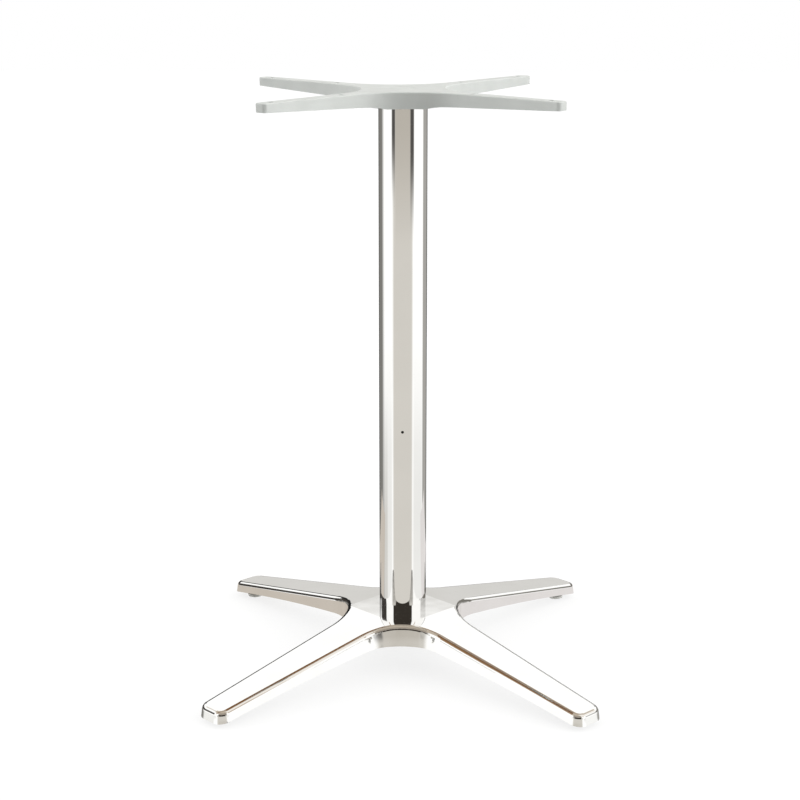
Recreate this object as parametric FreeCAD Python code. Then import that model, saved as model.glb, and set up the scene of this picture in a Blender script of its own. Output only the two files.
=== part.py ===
"""Four-star table base: cast foot star, chromed column, cast top spider, tie rod and levelling feet.

Millimetres. The column axis is +Z, the feet stand on z = 0, and the arms lie on the diagonals,
with the front of the table base towards -Y.
"""
import FreeCAD
import Part
import math
import os
from dataclasses import dataclass, replace

# Whole table base
OVERALL_HEIGHT = 735.0
ARM_CORNERS = ("front_right", "back_right", "back_left", "front_left")
FIRST_ARM_DEG = -45.0

# Foot star, seen from above (sizes at floor level, before the draft)
BASE_REACH = 324.0
BASE_ROOT_AT = 74.0
BASE_ROOT_HALF_WIDTH = 38.8
BASE_END_HALF_WIDTH = 23.4
BASE_CROTCH = 80.0
BASE_END_CORNER = 15.0
BASE_DRAFT_DEG = 7.0

# Foot star, seen from the side
HUB_TOP_Z = 67.0
ARM_BEND_AT = 60.0
ARM_BEND_RADIUS = 120.0
ARM_END_TOP_Z = 19.8
HUB_EDGE_Z = 40.5
ARCH_START_AT = 75.0
ARM_END_EDGE_Z = 5.8
ARCH_RISE = 3.0
BASE_EDGE_ROUND = 6.0

# Foot star, hollow underside
BASE_WALL = 5.0
BASE_SKIN = 5.0
BASE_INNER_CORNER = 10.0
HUB_BOSS_RADIUS = 34.0
HUB_BOSS_THICKNESS = 11.0
ARM_RIB_WIDTH = 4.0
ARM_RIB_RECESS = 3.0
CROSS_RIB_AT = (135.0, 205.0)

# Column
COLUMN_RADIUS = 30.0
COLUMN_WALL = 2.0
VENT_RADIUS = 1.8
VENT_Z = 310.0
SPIGOT_HEIGHT = 6.0
SPIGOT_CHAMFER = 1.0
SPIGOT_CLEARANCE = 0.15

# Top spider
SPIDER_TURN_DEG = 4.4
SPIDER_REACH = 243.0
SPIDER_ROOT_AT = 75.0
SPIDER_ROOT_HALF_WIDTH = 11.5
SPIDER_END_HALF_WIDTH = 8.5
SPIDER_CROTCH = 52.0
SPIDER_END_CORNER = 5.0
SPIDER_DRAFT_DEG = 1.5
SPIDER_HUB_DEPTH = 20.0
SPIDER_HUB_FLAT = 54.0
SPIDER_SHOULDER = 12.0
SPIDER_ARM_DEPTH = 17.2
SPIDER_END_DEPTH = 10.6
SPIDER_EDGE_CHAMFER = 1.0
SPIDER_WALL = 3.5
SPIDER_SKIN = 5.0
SPIDER_INNER_CORNER = 2.0
SCREW_INNER_AT = 110.0
SCREW_FROM_END = 18.0
SCREW_HOLE_RADIUS = 3.25
SCREW_BOSS_RADIUS = 6.5
SCREW_BOSS_HEIGHT = 8.0
NUT_RECESS_RADIUS = 15.0
NUT_RECESS_DEPTH = 13.5

# Tie rod and its fasteners
ROD_RADIUS = 5.0
ROD_HOLE_CLEARANCE = 0.5
ROD_CHAMFER = 1.0
ROD_PROUD_BELOW = 2.3
ROD_PROUD_ABOVE = 2.0
THREAD_CLEARANCE = 0.05
NUT_ACROSS_FLATS = 17.0
NUT_HEIGHT = 8.0
WIDE_WASHER_RADIUS = 15.0
WIDE_WASHER_THICKNESS = 2.5
WASHER_RADIUS = 10.0
WASHER_THICKNESS = 2.0
WASHER_CLEARANCE = 0.3
SPRING_WASHER_RADIUS = 9.0
SPRING_WASHER_THICKNESS = 2.2
SPRING_WASHER_GAP = 2.0

# Levelling feet
FOOT_FROM_END = 22.0
FOOT_SEAT_Z = 6.0
FOOT_BOSS_RADIUS = 11.0
STEM_RADIUS = 4.0
STEM_ENGAGEMENT = 11.0
STEM_END_ROOM = 1.5
STEM_CHAMFER = 0.8
STEM_FIT = 0.05
COLLAR_ACROSS_FLATS = 13.0
COLLAR_HEIGHT = 2.5
PAD_RADIUS = 10.0
PAD_CHAMFER = 1.0
PAD_PIN_RADIUS = 3.5
PAD_PIN_DEPTH = 2.2
PAD_PIN_CLEARANCE = 0.05

# Working values
OVERRUN = 20.0
CORNER_LEAST = 0.5
UPWARD_NORMAL = math.cos(math.radians(25.0))
ARM_ANGLES = {corner: FIRST_ARM_DEG + 360.0 * i / len(ARM_CORNERS) for i, corner in enumerate(ARM_CORNERS)}
FOOT_AT = BASE_REACH - FOOT_FROM_END
SCREW_HOLES_AT = (SCREW_INNER_AT, SPIDER_REACH - SCREW_FROM_END)
COLUMN_BORE = COLUMN_RADIUS - COLUMN_WALL
SPIDER_SEAT_Z = OVERALL_HEIGHT - SPIDER_HUB_DEPTH
ROD_HOLE_RADIUS = ROD_RADIUS + ROD_HOLE_CLEARANCE
HUB_BOSS_FACE_Z = HUB_TOP_Z - HUB_BOSS_THICKNESS
NUT_RECESS_FLOOR_Z = OVERALL_HEIGHT - NUT_RECESS_DEPTH
ORIGIN = FreeCAD.Vector(0, 0, 0)
UP = FreeCAD.Vector(0, 0, 1)


@dataclass(frozen=True)
class StarPlan:
    """Outline of a four-armed star, measured from its axis along and across one arm."""

    reach: float
    root_at: float
    root_half: float
    end_half: float
    crotch: float
    corner: float

    @property
    def taper(self):
        """Loss of half width for each millimetre along the arm."""
        return (self.root_half - self.end_half) / (self.reach - self.root_at)


BASE_PLAN = StarPlan(
    BASE_REACH, BASE_ROOT_AT, BASE_ROOT_HALF_WIDTH, BASE_END_HALF_WIDTH, BASE_CROTCH, BASE_END_CORNER
)
SPIDER_PLAN = StarPlan(
    SPIDER_REACH, SPIDER_ROOT_AT, SPIDER_ROOT_HALF_WIDTH, SPIDER_END_HALF_WIDTH, SPIDER_CROTCH,
    SPIDER_END_CORNER,
)


def on_arm(angle, along, across, z):
    """Point at a distance along and across the arm that points to angle."""
    turn = math.radians(angle)
    x = along * math.cos(turn) - across * math.sin(turn)
    y = along * math.sin(turn) + across * math.cos(turn)
    return FreeCAD.Vector(x, y, z)


def cylinder(radius, z_low, z_high, x=0.0, y=0.0):
    """Upright cylinder between two heights."""
    return Part.makeCylinder(radius, z_high - z_low, FreeCAD.Vector(x, y, z_low))


def arc_edge(first, middle, last):
    """Arc through three points."""
    return Part.Arc(first, middle, last).toShape()


def star_outline(plan, inset, z):
    """Closed outline of a star at height z, moved inward by inset all round."""
    slant = math.hypot(1.0, plan.taper)
    out_t = plan.taper / slant
    out_v = 1.0 / slant
    side = out_t * plan.root_at + out_v * plan.root_half
    diagonal = math.sqrt(0.5)
    lean = (out_t + out_v) * diagonal
    crotch_radius = (plan.crotch * lean - side) / (1.0 - lean)
    crotch_centre = (side + crotch_radius) / lean
    crotch_curve = crotch_radius + inset
    corner = max(plan.corner - inset, CORNER_LEAST)
    corner_t = plan.reach - inset - corner
    corner_v = (side - inset - corner - out_t * corner_t) / out_v
    half_turn = math.hypot(1.0 + out_t, out_v)

    foot = (crotch_centre * diagonal - crotch_curve * out_t, crotch_centre * diagonal - crotch_curve * out_v)
    shoulder = (corner_t + corner * out_t, corner_v + corner * out_v)
    knuckle = (corner_t + corner * (1.0 + out_t) / half_turn, corner_v + corner * out_v / half_turn)
    end = (plan.reach - inset, corner_v)
    deepest = (crotch_centre - crotch_curve) * diagonal

    edges = []
    for angle in ARM_ANGLES.values():
        right = [on_arm(angle, t, -v, z) for t, v in (foot, shoulder, knuckle, end)]
        left = [on_arm(angle, t, v, z) for t, v in (foot, shoulder, knuckle, end)]
        edges.append(Part.makeLine(right[0], right[1]))
        edges.append(arc_edge(right[1], right[2], right[3]))
        edges.append(Part.makeLine(right[3], left[3]))
        edges.append(arc_edge(left[3], left[2], left[1]))
        edges.append(Part.makeLine(left[1], left[0]))
        next_foot = on_arm(angle + 90.0, foot[0], -foot[1], z)
        edges.append(arc_edge(left[0], on_arm(angle, deepest, deepest, z), next_foot))
    return Part.Wire(edges)


def drafted_star(plan, inset, z_wide, z_narrow, draft_deg):
    """Star-shaped block whose walls lean inward from z_wide to z_narrow."""
    lean_in = abs(z_narrow - z_wide) * math.tan(math.radians(draft_deg))
    wide = star_outline(plan, inset, z_wide)
    narrow = star_outline(plan, inset + lean_in, z_narrow)
    return Part.makeLoft([wide, narrow], True, True)


def over_both_pairs(face, half_span):
    """What lies inside a side-view face along both pairs of opposite arms."""
    slab = face.extrude(FreeCAD.Vector(0, 2.0 * half_span, 0))
    slab.translate(FreeCAD.Vector(0, -half_span, 0))
    one_pair = slab.rotated(ORIGIN, UP, 45.0)
    other_pair = slab.rotated(ORIGIN, UP, 135.0)
    return one_pair.common(other_pair)


def mirrored_profile(right_edges, z_low):
    """Side-view face from edges that run outward from the axis, mirrored and closed below z_low."""
    left_edges = [edge.mirror(ORIGIN, FreeCAD.Vector(1, 0, 0)) for edge in right_edges]
    outer = right_edges[-1].Vertexes[-1].Point
    low_right = FreeCAD.Vector(outer.x, 0, z_low)
    low_left = FreeCAD.Vector(-outer.x, 0, z_low)
    close = [
        Part.makeLine(outer, low_right),
        Part.makeLine(low_right, low_left),
        Part.makeLine(low_left, FreeCAD.Vector(-outer.x, 0, outer.z)),
    ]
    ordered = Part.__sortEdges__(right_edges + left_edges + close)
    return Part.Face(Part.Wire(ordered))


def under_arm_tops(drop):
    """Everything below the flat hub top and the sloping arm tops, lowered by drop."""
    half_span = BASE_REACH + OVERRUN
    slope = (HUB_TOP_Z - ARM_END_TOP_Z) / (BASE_REACH - ARM_BEND_AT)
    angle = math.atan(slope)
    bend_start = ARM_BEND_AT - ARM_BEND_RADIUS * math.tan(angle / 2.0)

    def on_bend(turned):
        x = bend_start + ARM_BEND_RADIUS * math.sin(turned)
        z = HUB_TOP_Z - ARM_BEND_RADIUS * (1.0 - math.cos(turned))
        return FreeCAD.Vector(x, 0, z - drop)

    far = FreeCAD.Vector(half_span, 0, HUB_TOP_Z - slope * (half_span - ARM_BEND_AT) - drop)
    edges = [
        Part.makeLine(FreeCAD.Vector(0, 0, HUB_TOP_Z - drop), on_bend(0.0)),
        arc_edge(on_bend(0.0), on_bend(angle / 2.0), on_bend(angle)),
        Part.makeLine(on_bend(angle), far),
    ]
    return over_both_pairs(mirrored_profile(edges, -OVERRUN - drop), half_span)


def under_arm_edges(lift):
    """Everything below the lower edges of the hub and the arched arms, raised by lift."""
    half_span = BASE_REACH + OVERRUN
    start = FreeCAD.Vector(ARCH_START_AT, 0, HUB_EDGE_Z + lift)
    end = FreeCAD.Vector(BASE_REACH, 0, ARM_END_EDGE_Z + lift)
    crown = (start + end) * 0.5 + FreeCAD.Vector(0, 0, ARCH_RISE)
    edges = [
        Part.makeLine(FreeCAD.Vector(0, 0, start.z), start),
        arc_edge(start, crown, end),
        Part.makeLine(end, FreeCAD.Vector(half_span, 0, end.z)),
    ]
    return over_both_pairs(mirrored_profile(edges, -2.0 * OVERRUN), half_span)


def rim_edges(solid):
    """Edges where an upward face of a star meets its walls."""
    upward = []
    for face in solid.Faces:
        u_low, u_high, v_low, v_high = face.ParameterRange
        normal = face.normalAt((u_low + u_high) / 2.0, (v_low + v_high) / 2.0)
        if normal.z > UPWARD_NORMAL:
            upward.append(face)
    rim = []
    for face in upward:
        for edge in face.Edges:
            sharing = [other for other in upward if any(edge.isSame(e) for e in other.Edges)]
            if len(sharing) == 1:
                rim.append(edge)
    return rim


def arm_bar(angle, half_width, start, stop, z_low, z_high):
    """Straight upright bar along the middle of an arm."""
    bar = Part.makeBox(stop - start, 2.0 * half_width, z_high - z_low,
                       FreeCAD.Vector(start, -half_width, z_low))
    return bar.rotated(ORIGIN, UP, angle)


def cross_bar(angle, along, half_length, width, z_low, z_high):
    """Straight upright bar across an arm."""
    bar = Part.makeBox(width, 2.0 * half_length, z_high - z_low,
                       FreeCAD.Vector(along - width / 2.0, -half_length, z_low))
    return bar.rotated(ORIGIN, UP, angle)


def base_ribs():
    """Middle rib and cross ribs in the hollow of every arm, set back from the arm's lower edge."""
    half_width = ARM_RIB_WIDTH / 2.0
    ribs = []
    for angle in ARM_ANGLES.values():
        ribs.append(arm_bar(angle, half_width, 0.0, FOOT_AT, 0.0, HUB_TOP_Z))
        for along in CROSS_RIB_AT:
            ribs.append(cross_bar(angle, along, BASE_ROOT_HALF_WIDTH, ARM_RIB_WIDTH, 0.0, HUB_TOP_Z))
    joined = ribs[0].fuse(ribs[1:])
    return joined.cut(under_arm_edges(ARM_RIB_RECESS))


def star_base():
    """Cast foot star: rounded arms, hollow ribbed underside, hub boss, spigot and foot bosses."""
    block = drafted_star(BASE_PLAN, 0.0, 0.0, HUB_TOP_Z + OVERRUN, BASE_DRAFT_DEG)
    sharp = block.common(under_arm_tops(0.0))
    rounded = sharp.makeFillet(BASE_EDGE_ROUND, rim_edges(sharp))

    hollow_plan = replace(BASE_PLAN, corner=BASE_WALL + BASE_INNER_CORNER)
    hollow_block = drafted_star(hollow_plan, BASE_WALL, 0.0, HUB_TOP_Z + OVERRUN, BASE_DRAFT_DEG)
    hollow = hollow_block.common(under_arm_tops(BASE_SKIN))
    shell = rounded.cut(under_arm_edges(0.0)).cut(hollow)

    inner = base_ribs()
    hub_well = cylinder(HUB_BOSS_RADIUS, 0.0, HUB_BOSS_FACE_Z)
    inner = inner.cut(hub_well).fuse(cylinder(HUB_BOSS_RADIUS, HUB_BOSS_FACE_Z, HUB_TOP_Z))
    for angle in ARM_ANGLES.values():
        foot = on_arm(angle, FOOT_AT, 0.0, 0.0)
        inner = inner.fuse(cylinder(FOOT_BOSS_RADIUS, FOOT_SEAT_Z, HUB_TOP_Z, foot.x, foot.y))
    casting = shell.fuse(inner.common(rounded))

    spigot_radius = COLUMN_BORE - SPIGOT_CLEARANCE
    spigot = cylinder(spigot_radius, HUB_TOP_Z, HUB_TOP_Z + SPIGOT_HEIGHT)
    casting = casting.fuse(spigot.makeChamfer(SPIGOT_CHAMFER, [top_circle(spigot)]))
    casting = casting.cut(cylinder(ROD_HOLE_RADIUS, 0.0, HUB_TOP_Z + OVERRUN))
    for angle in ARM_ANGLES.values():
        foot = on_arm(angle, FOOT_AT, 0.0, 0.0)
        tapped_to = FOOT_SEAT_Z + STEM_ENGAGEMENT + STEM_END_ROOM
        casting = casting.cut(cylinder(STEM_RADIUS + STEM_FIT, 0.0, tapped_to, foot.x, foot.y))
    return casting.removeSplitter()


def top_circle(solid):
    """Highest circular edge of a turned solid."""
    return max((edge for edge in solid.Edges if edge.Closed), key=lambda edge: edge.BoundBox.ZMax)


def bottom_circle(solid):
    """Lowest circular edge of a turned solid."""
    return min((edge for edge in solid.Edges if edge.Closed), key=lambda edge: edge.BoundBox.ZMin)


def column_tube():
    """Chromed tube between the foot star and the spider, with its small vent hole in front."""
    tube = cylinder(COLUMN_RADIUS, HUB_TOP_Z, SPIDER_SEAT_Z)
    tube = tube.cut(cylinder(COLUMN_BORE, HUB_TOP_Z, SPIDER_SEAT_Z))
    front = FreeCAD.Vector(0, -1, 0)
    vent = Part.makeCylinder(VENT_RADIUS, COLUMN_RADIUS, FreeCAD.Vector(0, 0, VENT_Z), front)
    return tube.cut(vent)


def above_spider_underside():
    """Everything above the underside of the spider: level at the hub, then a shoulder and rising arms."""
    half_span = SPIDER_REACH + OVERRUN
    arm_at = SPIDER_HUB_FLAT + SPIDER_SHOULDER
    arm_z = OVERALL_HEIGHT - SPIDER_ARM_DEPTH
    rise = (SPIDER_ARM_DEPTH - SPIDER_END_DEPTH) / (SPIDER_REACH - arm_at)
    far_z = arm_z + rise * (half_span - arm_at)
    top_z = OVERALL_HEIGHT + OVERRUN
    one_side = [(SPIDER_HUB_FLAT, SPIDER_SEAT_Z), (arm_at, arm_z), (half_span, far_z), (half_span, top_z)]
    other_side = [(-x, z) for x, z in reversed(one_side)]
    corners = one_side + other_side + one_side[:1]
    outline = Part.makePolygon([FreeCAD.Vector(x, -SPIDER_HUB_FLAT, z) for x, z in corners])
    slab = Part.Face(outline).extrude(FreeCAD.Vector(0, 2.0 * SPIDER_HUB_FLAT, 0))
    return slab.rotated(ORIGIN, UP, 45.0).fuse(slab.rotated(ORIGIN, UP, 135.0))


def top_spider():
    """Cast spider: hollow arms with screw bosses, solid hub with nut recess and column spigot."""
    block = drafted_star(SPIDER_PLAN, 0.0, OVERALL_HEIGHT, SPIDER_SEAT_Z, SPIDER_DRAFT_DEG)
    body = block.makeChamfer(SPIDER_EDGE_CHAMFER, rim_edges(block)).common(above_spider_underside())
    hollow_plan = replace(SPIDER_PLAN, corner=SPIDER_WALL + SPIDER_INNER_CORNER)
    hollow_depth = FreeCAD.Vector(0, 0, SPIDER_HUB_DEPTH - SPIDER_SKIN)
    hollow = Part.Face(star_outline(hollow_plan, SPIDER_WALL, SPIDER_SEAT_Z)).extrude(hollow_depth)
    hub = Part.makeBox(2.0 * SPIDER_CROTCH, 2.0 * SPIDER_CROTCH, SPIDER_HUB_DEPTH + OVERRUN,
                       FreeCAD.Vector(-SPIDER_CROTCH, -SPIDER_CROTCH, SPIDER_SEAT_Z - OVERRUN))
    hollow = hollow.cut(hub.rotated(ORIGIN, UP, 45.0))
    holes = []
    for angle in ARM_ANGLES.values():
        for along in SCREW_HOLES_AT:
            place = on_arm(angle, along, 0.0, 0.0)
            boss_low = OVERALL_HEIGHT - SCREW_BOSS_HEIGHT
            hollow = hollow.cut(cylinder(SCREW_BOSS_RADIUS, boss_low, OVERALL_HEIGHT, place.x, place.y))
            holes.append(cylinder(SCREW_HOLE_RADIUS, SPIDER_SEAT_Z, OVERALL_HEIGHT, place.x, place.y))
    body = body.cut(hollow).cut(holes)
    spigot = cylinder(COLUMN_BORE - SPIGOT_CLEARANCE, SPIDER_SEAT_Z - SPIGOT_HEIGHT, SPIDER_SEAT_Z)
    body = body.fuse(spigot.makeChamfer(SPIGOT_CHAMFER, [bottom_circle(spigot)]))
    body = body.cut(cylinder(NUT_RECESS_RADIUS, NUT_RECESS_FLOOR_Z, OVERALL_HEIGHT))
    body = body.cut(cylinder(ROD_HOLE_RADIUS, SPIDER_SEAT_Z - OVERRUN, OVERALL_HEIGHT))
    return body.removeSplitter().rotated(ORIGIN, UP, SPIDER_TURN_DEG)


def ring(outer_radius, z_low, thickness):
    """Flat washer on the tie rod."""
    disc = cylinder(outer_radius, z_low, z_low + thickness)
    return disc.cut(cylinder(ROD_RADIUS + WASHER_CLEARANCE, z_low, z_low + thickness))


def spring_ring(z_low):
    """Split spring washer on the tie rod."""
    whole = ring(SPRING_WASHER_RADIUS, z_low, SPRING_WASHER_THICKNESS)
    gap = Part.makeBox(SPRING_WASHER_RADIUS, SPRING_WASHER_GAP, SPRING_WASHER_THICKNESS,
                       FreeCAD.Vector(0, -SPRING_WASHER_GAP / 2.0, z_low))
    return whole.cut(gap)


def hexagon(across_flats, z_low, height):
    """Upright hexagonal bar."""
    corner_radius = across_flats / math.sqrt(3.0)
    points = []
    for step in range(7):
        turn = math.radians(60.0 * step)
        points.append(FreeCAD.Vector(corner_radius * math.cos(turn), corner_radius * math.sin(turn), z_low))
    return Part.Face(Part.makePolygon(points)).extrude(FreeCAD.Vector(0, 0, height))


def hex_nut(z_low):
    """Hexagon nut on the tie rod."""
    bore = cylinder(ROD_RADIUS + THREAD_CLEARANCE, z_low, z_low + NUT_HEIGHT)
    return hexagon(NUT_ACROSS_FLATS, z_low, NUT_HEIGHT).cut(bore)


def fastening_stack():
    """Tie rod with its washers and nuts, from the hub boss up to the nut recess of the spider."""
    wide_z = HUB_BOSS_FACE_Z - WIDE_WASHER_THICKNESS
    spring_z = wide_z - SPRING_WASHER_THICKNESS
    lower_nut_z = spring_z - NUT_HEIGHT
    upper_nut_z = NUT_RECESS_FLOOR_Z + WASHER_THICKNESS
    rod = cylinder(ROD_RADIUS, lower_nut_z - ROD_PROUD_BELOW, upper_nut_z + NUT_HEIGHT + ROD_PROUD_ABOVE)
    return {
        "tie_rod": rod.makeChamfer(ROD_CHAMFER, [top_circle(rod), bottom_circle(rod)]),
        "lower_wide_washer": ring(WIDE_WASHER_RADIUS, wide_z, WIDE_WASHER_THICKNESS),
        "lower_spring_washer": spring_ring(spring_z),
        "lower_nut": hex_nut(lower_nut_z),
        "upper_washer": ring(WASHER_RADIUS, NUT_RECESS_FLOOR_Z, WASHER_THICKNESS),
        "upper_nut": hex_nut(upper_nut_z),
    }


def foot_stem():
    """Threaded stem of a levelling foot with its hexagon collar and the pin that holds the pad."""
    collar_z = FOOT_SEAT_Z - COLLAR_HEIGHT
    shank = cylinder(STEM_RADIUS, FOOT_SEAT_Z, FOOT_SEAT_Z + STEM_ENGAGEMENT)
    shank = shank.makeChamfer(STEM_CHAMFER, [top_circle(shank)])
    pin = cylinder(PAD_PIN_RADIUS, collar_z - PAD_PIN_DEPTH, collar_z)
    return hexagon(COLLAR_ACROSS_FLATS, collar_z, COLLAR_HEIGHT).fuse([shank, pin]).removeSplitter()


def foot_pad():
    """Round pad pressed onto the pin of a levelling foot."""
    top_z = FOOT_SEAT_Z - COLLAR_HEIGHT
    pad = cylinder(PAD_RADIUS, 0.0, top_z)
    pad = pad.makeChamfer(PAD_CHAMFER, [top_circle(pad)])
    return pad.cut(cylinder(PAD_PIN_RADIUS + PAD_PIN_CLEARANCE, top_z - PAD_PIN_DEPTH, top_z))


def levelling_feet():
    """One stem and one pad under the end of every arm."""
    nodes = {}
    for corner, angle in ARM_ANGLES.items():
        place = on_arm(angle, FOOT_AT, 0.0, 0.0)
        nodes["foot_stem_" + corner] = foot_stem().rotated(ORIGIN, UP, angle).translated(place)
        nodes["foot_pad_" + corner] = foot_pad().translated(place)
    return nodes


def main():
    """Build every node and write its file."""
    nodes = {"star_base": star_base(), "column_tube": column_tube(), "top_spider": top_spider()}
    nodes.update(fastening_stack())
    nodes.update(levelling_feet())
    os.makedirs("parts", exist_ok=True)
    for name, shape in nodes.items():
        shape.exportStep("parts/" + name + ".step")
        print(name, "solids", len(shape.Solids), "valid", shape.isValid(), "volume", round(shape.Volume))


main()
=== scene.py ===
"""Looks of a four star table base.

It has a polished foot star, a chromed column, a painted top spider, a tie rod and four levelling feet.
"""

import logging
import math
from dataclasses import dataclass, field
from enum import Enum

import bmesh
import bpy
from mathutils import Matrix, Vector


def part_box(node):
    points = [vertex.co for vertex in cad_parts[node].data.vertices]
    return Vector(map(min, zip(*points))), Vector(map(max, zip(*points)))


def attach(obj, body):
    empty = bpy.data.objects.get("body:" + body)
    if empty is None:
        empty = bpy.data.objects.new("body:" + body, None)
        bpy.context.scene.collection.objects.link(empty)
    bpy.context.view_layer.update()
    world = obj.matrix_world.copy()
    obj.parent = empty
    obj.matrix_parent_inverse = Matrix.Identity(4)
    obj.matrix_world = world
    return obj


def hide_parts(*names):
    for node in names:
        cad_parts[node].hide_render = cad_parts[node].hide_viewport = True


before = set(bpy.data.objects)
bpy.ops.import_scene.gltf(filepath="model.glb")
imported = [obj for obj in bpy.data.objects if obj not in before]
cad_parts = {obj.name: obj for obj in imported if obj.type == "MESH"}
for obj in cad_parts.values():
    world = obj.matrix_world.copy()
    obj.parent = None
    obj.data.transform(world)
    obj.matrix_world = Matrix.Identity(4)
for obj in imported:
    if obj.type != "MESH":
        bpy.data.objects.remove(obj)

log = logging.getLogger("four_star_table_base")

MM = 0.001
MERGE_WITHIN = 0.002 * MM
SPARE_TURNS = 3
ROUNDED_MIDDLE = 0.3

Colour = tuple[float, float, float]
Point = tuple[float, float, float]
Span = tuple[float, float]
Socket = bpy.types.NodeSocket
Feed = Socket | float | tuple[float, ...]

BLACK: Colour = (0.0, 0.0, 0.0)
WHITE: Colour = (1.0, 1.0, 1.0)


class Slot(Enum):
    """The finishes that the record names."""

    POLISHED_ALUMINIUM = "polished_aluminium"
    CHROMED_STEEL = "chromed_steel"
    GREY_PAINT = "grey_paint"
    ZINC_STEEL = "zinc_steel"
    PALE_NYLON = "pale_nylon"


class Corner(Enum):
    """The four arm ends of the foot star."""

    FRONT_RIGHT = "front_right"
    BACK_RIGHT = "back_right"
    BACK_LEFT = "back_left"
    FRONT_LEFT = "front_left"


class Sum(Enum):
    """The sums that a node tree does."""

    ADD = "ADD"
    SUBTRACT = "SUBTRACT"
    MULTIPLY = "MULTIPLY"
    LARGEST = "MAXIMUM"
    SIZE_OF = "ABSOLUTE"
    ARC_SINE = "ARCSINE"
    ARC_TANGENT = "ARCTAN2"
    DEGREES = "DEGREES"
    ABOVE = "GREATER_THAN"


def rgba(colour: Colour) -> tuple[float, float, float, float]:
    """The colour with full cover."""
    return (*colour, 1.0)


@dataclass
class NodeSheet:
    """A node tree that is being laid out.

    Attributes:
        tree: the tree of a material, a group or the surround
    """

    tree: bpy.types.NodeTree

    def add(self, kind: str) -> bpy.types.Node:
        """A new node of that kind."""
        return self.tree.nodes.new(kind)

    def feed(self, socket: Socket, value: Feed) -> None:
        """Links a socket to another one, or sets its plain value.

        Args:
            socket: the input that takes the value
            value: an output socket, a number or a colour
        """
        if isinstance(value, Socket):
            self.tree.links.new(value, socket)
        else:
            socket.default_value = value

    def work(self, step: Sum, first: Feed, second: Feed = 0.0) -> Socket:
        """One sum of two values.

        Args:
            step: the sum
            first: its first value
            second: its second value, for a sum that has one

        Returns:
            the socket that gives the result
        """
        node = self.add("ShaderNodeMath")
        node.operation = step.value
        self.feed(node.inputs[0], first)
        self.feed(node.inputs[1], second)
        return node.outputs[0]

    def rise(self, value: Feed, low: float, high: float, start: Feed = 0.0, end: Feed = 1.0) -> Socket:
        """A smooth step of a value, from start at low to end at high.

        Args:
            value: what is followed
            low: where the step begins
            high: where it ends
            start: what it gives before low
            end: what it gives after high

        Returns:
            the socket that gives the step
        """
        node = self.add("ShaderNodeMapRange")
        node.interpolation_type = "SMOOTHSTEP"
        self.feed(node.inputs["Value"], value)
        self.feed(node.inputs["From Min"], low)
        self.feed(node.inputs["From Max"], high)
        self.feed(node.inputs["To Min"], start)
        self.feed(node.inputs["To Max"], end)
        return node.outputs["Result"]

    def between(self, value: Feed, low: float, high: float, soft: float) -> Socket:
        """A soft window: one from low to high, none outside.

        Args:
            value: what is followed
            low: the window's lower edge
            high: its upper edge
            soft: how wide each edge fades

        Returns:
            the socket that gives the window
        """
        entered = self.rise(value, low - soft / 2, low + soft / 2)
        left = self.rise(value, high - soft / 2, high + soft / 2)
        return self.work(Sum.SUBTRACT, entered, left)

    def blend(self, share: Feed, first: Feed, second: Feed) -> Socket:
        """A colour between two colours.

        Args:
            share: none gives the first, one gives the second
            first: the colour at none
            second: the colour at one

        Returns:
            the socket that gives the colour
        """
        node = self.add("ShaderNodeMix")
        node.data_type = "RGBA"
        self.feed(node.inputs[0], share)
        self.feed(node.inputs[6], first)
        self.feed(node.inputs[7], second)
        return node.outputs[2]

    def noise(self, place: Feed, scale: Feed, detail: float = 2.0, rough: float = 0.5) -> Socket:
        """Soft random patches.

        Args:
            place: the coordinates that they follow
            scale: patches to a metre
            detail: layers of finer patches
            rough: how strong the finer layers are

        Returns:
            the socket that gives a value about a half
        """
        node = self.add("ShaderNodeTexNoise")
        self.feed(node.inputs["Vector"], place)
        self.feed(node.inputs["Scale"], scale)
        self.feed(node.inputs["Detail"], detail)
        self.feed(node.inputs["Roughness"], rough)
        return node.outputs[0]

    def stretched(self, place: Feed, scale: tuple[float, float, float]) -> Socket:
        """The coordinates, scaled along each axis.

        Args:
            place: the coordinates
            scale: their three factors

        Returns:
            the socket that gives the new coordinates
        """
        node = self.add("ShaderNodeMapping")
        self.feed(node.inputs["Vector"], place)
        self.feed(node.inputs["Scale"], scale)
        return node.outputs["Vector"]

    def bump(self, height: Feed, strength: float, depth: float, onto: Socket | None = None) -> Socket:
        """Relief from a height.

        Args:
            height: the height that changes over the surface
            strength: how much of it shows
            depth: metres from its lowest to its highest
            onto: the relief that it is laid on, if any

        Returns:
            the socket that gives the normal
        """
        node = self.add("ShaderNodeBump")
        node.inputs["Strength"].default_value = strength
        node.inputs["Distance"].default_value = depth
        self.feed(node.inputs["Height"], height)
        if onto:
            self.feed(node.inputs["Normal"], onto)
        return node.outputs["Normal"]


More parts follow.
